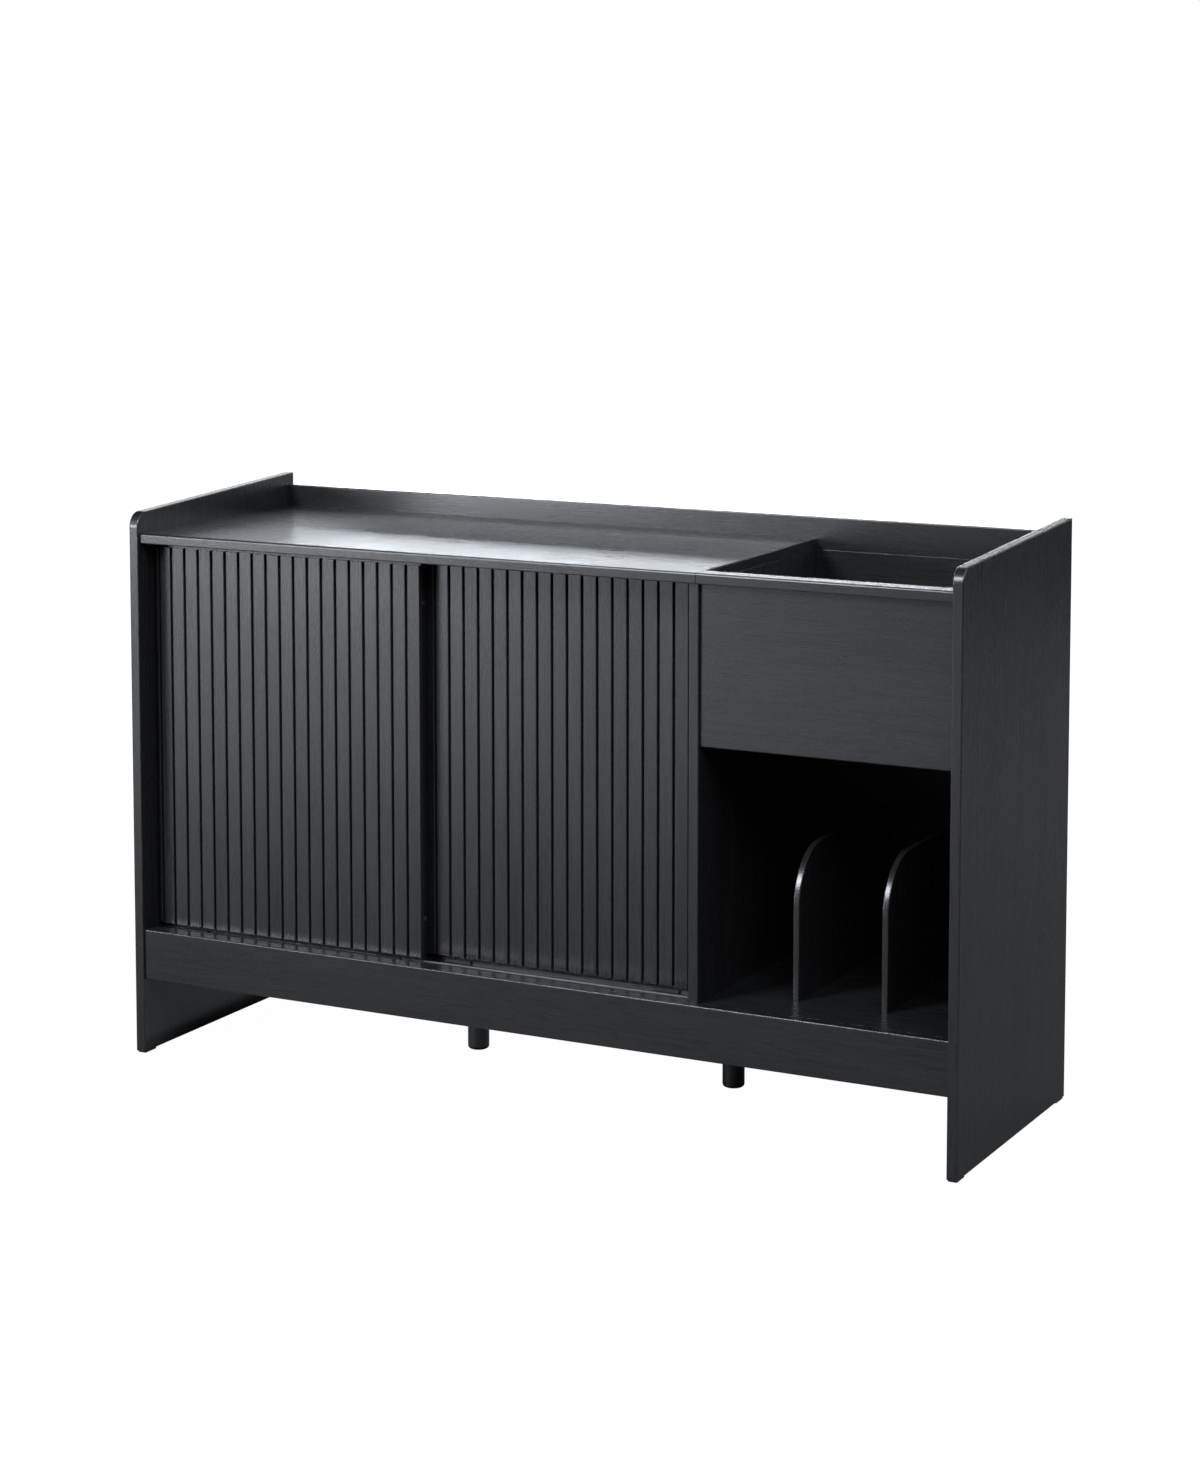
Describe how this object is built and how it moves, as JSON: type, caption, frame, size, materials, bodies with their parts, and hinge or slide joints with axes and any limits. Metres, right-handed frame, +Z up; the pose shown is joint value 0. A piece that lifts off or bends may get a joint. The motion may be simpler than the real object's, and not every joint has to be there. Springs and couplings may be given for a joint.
{
  "type": "record cabinet",
  "caption": "Low cabinet with sliding slatted doors, an open-topped record bin over a divided record cubby, a gallery rail behind its top, and end panels that stand on the floor.",
  "frame": {"origin": "on the floor, under the middle of the cabinet's bounding box", "axes": "+X along the length, from the doors' end to the bin's end; +Y from the front to the back; +Z up"},
  "size_m": [1.3, 0.42, 0.828],
  "materials": {
    "anodised_track": "satin anodised",
    "beech": "plain turned beech",
    "block_wood": "planed softwood",
    "cam_metal": "die cast, satin",
    "door_laminate": "satin charcoal woodgrain laminate, upright grain",
    "felt_glide": "moulded dark plastic",
    "hardboard": "dark faced hardboard",
    "laminate_board": "satin charcoal woodgrain laminate on board",
    "leg_plastic": "moulded black plastic",
    "nylon_dark": "moulded black nylon",
    "plate_steel": "black powder coat",
    "soft_buffer": "soft black rubber",
    "zinc_steel": "bright zinc plated"
  },
  "bodies": {
    "cabinet": {"back_panel_cubby": "hardboard", "back_panel_left": "hardboard", "back_panel_middle": "hardboard", "base_screws": "zinc_steel", "bin_back_panel": "laminate_board", "bin_cap_rail": "laminate_board", "bin_floor": "laminate_board", "bin_front_panel": "laminate_board", "block_screws": "zinc_steel", "bottom_panel": "laminate_board", "bottom_track": "anodised_track", "cable_grommets": "nylon_dark", "cam_bolts": "zinc_steel", "cam_locks": "cam_metal", "centre_leg_left": "leg_plastic", "centre_leg_right": "leg_plastic", "corner_blocks": "block_wood", "divider_panel": "laminate_board", "dowels": "beech", "front_apron": "laminate_board", "gallery_rail": "laminate_board", "inner_partition": "laminate_board", "leg_feet": "leg_plastic", "leg_plates": "plate_steel", "leg_screws": "zinc_steel", "rear_apron": "laminate_board", "record_divider_left": "laminate_board", "record_divider_right": "laminate_board", "shelf_left": "laminate_board", "shelf_pins": "zinc_steel", "shelf_right": "laminate_board", "side_glides": "felt_glide", "side_panel_left": "laminate_board", "side_panel_right": "laminate_board", "top_panel": "laminate_board", "top_track": "anodised_track", "track_screws": "zinc_steel"},
    "front_door": {"front_door_bottom_shoes": "nylon_dark", "front_door_buffers": "soft_buffer", "front_door_edge_strip": "door_laminate", "front_door_panel": "door_laminate", "front_door_shoe_screws": "zinc_steel", "front_door_slats": "door_laminate", "front_door_top_guides": "nylon_dark"},
    "rear_door": {"rear_door_bottom_shoes": "nylon_dark", "rear_door_buffers": "soft_buffer", "rear_door_edge_strip": "door_laminate", "rear_door_panel": "door_laminate", "rear_door_shoe_screws": "zinc_steel", "rear_door_slats": "door_laminate", "rear_door_top_guides": "nylon_dark"}
  },
  "joints": [
    {"name": "front_door_slide", "type": "slide", "parent": "cabinet", "child": "front_door", "axis": [1, 0, 0], "range_m": [0, 0.432]},
    {"name": "rear_door_slide", "type": "slide", "parent": "cabinet", "child": "rear_door", "axis": [1, 0, 0], "range_m": [-0.432, 0]}
  ]
}
